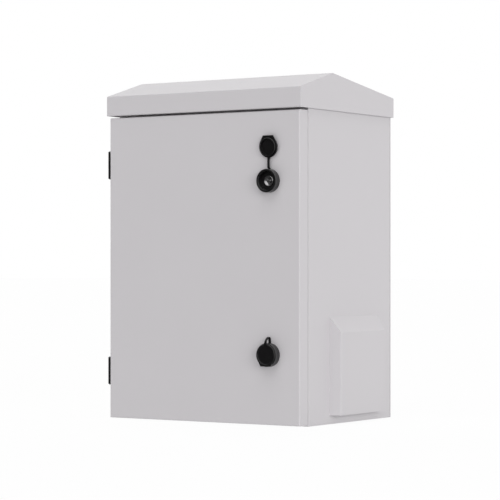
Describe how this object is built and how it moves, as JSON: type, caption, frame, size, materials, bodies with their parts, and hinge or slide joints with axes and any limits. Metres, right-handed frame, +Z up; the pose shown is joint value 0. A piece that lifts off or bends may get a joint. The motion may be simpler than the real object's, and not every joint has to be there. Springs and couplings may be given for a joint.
{
  "type": "roadside utility cabinet",
  "caption": "Steel utility cabinet with a gabled rain hood, a hinged door with capped quarter-turn locks, side vent covers and a rack for network equipment inside.",
  "frame": {"origin": "middle of the cabinet's outline on its base, on the floor, with the hood's overhang and the vent covers left out", "axes": "+X to the right seen from the front, +Y to the back, +Z up; the door faces -Y"},
  "size_m": [0.66, 0.4885, 0.906],
  "materials": {
    "body_paint": "fine-textured powder coat, light grey, satin",
    "black_plastic": "black moulded nylon, satin",
    "black_metal": "black powder-coated die casting",
    "lock_metal": "polished nickel plate",
    "zinc_steel": "bright zinc plate",
    "rubber": "matt black rubber",
    "filter_foam": "open-cell filter mat, grey",
    "brass": "bare brass"
  },
  "bodies": {
    "cabinet": {"right_side": "body_paint", "left_side": "body_paint", "back_panel": "body_paint", "top_panel": "body_paint", "base_panel": "body_paint", "hood": "body_paint", "hood_bearers": "body_paint", "hood_bolts": "zinc_steel", "hood_nuts": "zinc_steel", "upper_hinge_body_leaf": "black_metal", "upper_hinge_pin": "zinc_steel", "lower_hinge_body_leaf": "black_metal", "lower_hinge_pin": "zinc_steel", "body_hinge_nuts": "zinc_steel", "right_vent_cover": "body_paint", "right_vent_grille": "zinc_steel", "right_filter_mat": "filter_foam", "right_filter_frame": "zinc_steel", "left_vent_cover": "body_paint", "left_vent_grille": "zinc_steel", "left_filter_mat": "filter_foam", "left_filter_frame": "zinc_steel", "filter_screws": "zinc_steel", "front_right_rail": "zinc_steel", "front_left_rail": "zinc_steel", "rear_right_rail": "zinc_steel", "rear_left_rail": "zinc_steel", "base_slides": "zinc_steel", "top_slides": "zinc_steel", "rail_bolts": "zinc_steel", "rail_nuts": "zinc_steel", "gland_plate": "body_paint", "gland_seal": "rubber", "gland_nuts": "zinc_steel", "cable_grommets": "rubber", "earth_stud": "brass", "earth_nut": "brass"},
    "door": {"door_pan": "body_paint", "door_seal": "rubber", "door_stiffeners": "body_paint", "door_hinge_nuts": "zinc_steel", "upper_hinge_door_leaf": "black_metal", "lower_hinge_door_leaf": "black_metal", "upper_lock_housing": "black_plastic", "upper_lock_nut": "zinc_steel", "upper_lock_strap": "rubber", "lower_lock_housing": "black_plastic", "lower_lock_nut": "zinc_steel", "lower_lock_strap": "rubber"},
    "upper_lock": {"upper_lock_core": "lock_metal", "upper_lock_cam": "zinc_steel", "upper_lock_cam_nut": "zinc_steel"},
    "upper_cap": {"upper_lock_cap": "black_plastic"},
    "lower_lock": {"lower_lock_core": "lock_metal", "lower_lock_cam": "zinc_steel", "lower_lock_cam_nut": "zinc_steel"},
    "lower_cap": {"lower_lock_cap": "black_plastic"}
  },
  "joints": [
    {"name": "door_hinge", "type": "hinge", "parent": "cabinet", "child": "door", "pos_m": [-0.307, -0.218, 0.4], "axis": [0, 0, -1], "range_deg": [0, 180]},
    {"name": "upper_lock_turn", "type": "hinge", "parent": "door", "child": "upper_lock", "pos_m": [0.2105, -0.23, 0.6247], "axis": [0, -1, 0], "range_deg": [0, 90]},
    {"name": "upper_cap_flip", "type": "hinge", "parent": "door", "child": "upper_cap", "pos_m": [0.2105, -0.2426, 0.6677], "axis": [1, 0, 0], "range_deg": [0, 176], "deforming": ["upper_lock_strap"]},
    {"name": "lower_lock_turn", "type": "hinge", "parent": "door", "child": "lower_lock", "pos_m": [0.2105, -0.23, 0.1818], "axis": [0, -1, 0], "range_deg": [0, 90]},
    {"name": "lower_cap_flip", "type": "hinge", "parent": "door", "child": "lower_cap", "pos_m": [0.2105, -0.2426, 0.2248], "axis": [-1, 0, 0], "range_deg": [0, 176], "deforming": ["lower_lock_strap"]}
  ]
}
